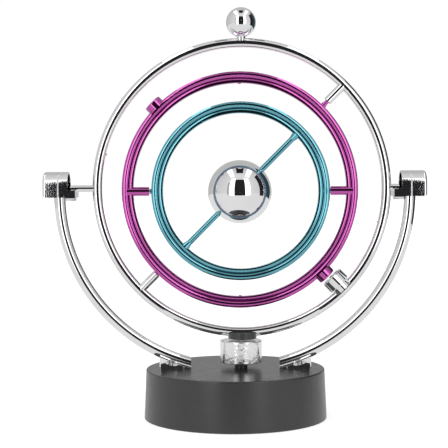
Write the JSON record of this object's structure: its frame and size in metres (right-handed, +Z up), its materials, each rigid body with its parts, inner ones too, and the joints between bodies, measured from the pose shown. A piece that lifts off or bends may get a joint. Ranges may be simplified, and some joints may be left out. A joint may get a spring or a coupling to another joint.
{
  "type": "orbital desk toy",
  "caption": "Battery-driven orbital desk toy: nested rings on crossed pivots round a hollow ball, in a chrome fork on a round base with a coil that keeps them swinging.",
  "frame": {"origin": "floor level under the middle of the round base, which is also the middle of the fork's width", "axes": "+Z up; the rings hang in the XZ plane at rest; the front faces -Y; +X to the right"},
  "size_m": [0.1886, 0.0904, 0.2026],
  "materials": {
    "black_plastic": "satin",
    "chrome_plate": "polished",
    "magenta_plate": "polished",
    "teal_plate": "polished",
    "pin_steel": "satin",
    "screw_steel": "satin",
    "magnet_nickel": "satin",
    "foot_rubber": "matte",
    "cell_jacket": "gloss",
    "contact_nickel": "satin",
    "board_green": "satin",
    "component_black": "matte",
    "capacitor_sleeve": "gloss",
    "wire_red": "satin",
    "wire_enamel": "gloss",
    "copper_winding": "satin",
    "bobbin_plastic": "matte",
    "core_iron": "matte"
  },
  "bodies": {
    "base_body": {"base_housing": "black_plastic", "base_cover": "black_plastic", "rubber_feet": "foot_rubber", "cover_screws": "screw_steel", "positive_contact": "contact_nickel", "negative_contact": "contact_nickel", "rear_bridge_contact": "contact_nickel", "left_bridge_contact": "contact_nickel", "right_bridge_contact": "contact_nickel", "circuit_board": "board_green", "board_screws": "screw_steel", "drive_transistor": "component_black", "smoothing_capacitor": "capacitor_sleeve", "battery_leads": "wire_red", "coil_leads": "wire_enamel", "coil_seat": "black_plastic", "coil_cup": "chrome_plate", "coil_bobbin": "bobbin_plastic", "drive_coil": "copper_winding", "coil_core": "core_iron", "coil_screw": "screw_steel", "right_fork_arm": "chrome_plate", "left_fork_arm": "chrome_plate", "right_bearing_cup": "chrome_plate", "left_bearing_cup": "chrome_plate", "right_end_cap": "chrome_plate", "left_end_cap": "chrome_plate", "fork_screws": "screw_steel", "battery_cell_1": "cell_jacket", "battery_cell_2": "cell_jacket", "battery_cell_3": "cell_jacket", "battery_cell_4": "cell_jacket"},
    "outer_ring_body": {"outer_ring": "chrome_plate", "right_axle_pin": "chrome_plate", "left_axle_pin": "chrome_plate", "finial_stud": "chrome_plate", "finial_ball": "chrome_plate", "drive_housing": "black_plastic", "drive_magnet": "magnet_nickel", "side_magnet_cup": "chrome_plate", "side_magnet": "magnet_nickel"},
    "middle_ring_body": {"middle_ring": "magenta_plate", "upper_middle_pin": "magenta_plate", "lower_middle_pin": "magenta_plate", "upper_tilt_magnet": "magnet_nickel", "lower_tilt_magnet": "magnet_nickel"},
    "inner_ring_body": {"inner_ring": "teal_plate", "right_inner_pin": "pin_steel", "left_inner_pin": "pin_steel", "ball_front_half": "chrome_plate", "ball_rear_half": "chrome_plate"},
    "battery_door_body": {"battery_door": "black_plastic"}
  },
  "joints": [
    {"name": "outer_ring_swing", "type": "hinge", "parent": "base_body", "child": "outer_ring_body", "pos_m": [0.00355, 0, 0.1137], "axis": [1, 0, 0], "range_deg": [-166, 166]},
    {"name": "middle_ring_spin", "type": "hinge", "parent": "outer_ring_body", "child": "middle_ring_body", "pos_m": [0.0026, 0, 0.11275], "axis": [0.7071, 0, 0.7071], "continuous": true},
    {"name": "inner_ring_spin", "type": "hinge", "parent": "middle_ring_body", "child": "inner_ring_body", "pos_m": [0.003, 0, 0.11218], "axis": [1, 0, 0], "continuous": true},
    {"name": "battery_door_slide", "type": "slide", "parent": "base_body", "child": "battery_door_body", "axis": [0, -1, 0], "range_m": [0, 0.005]}
  ]
}
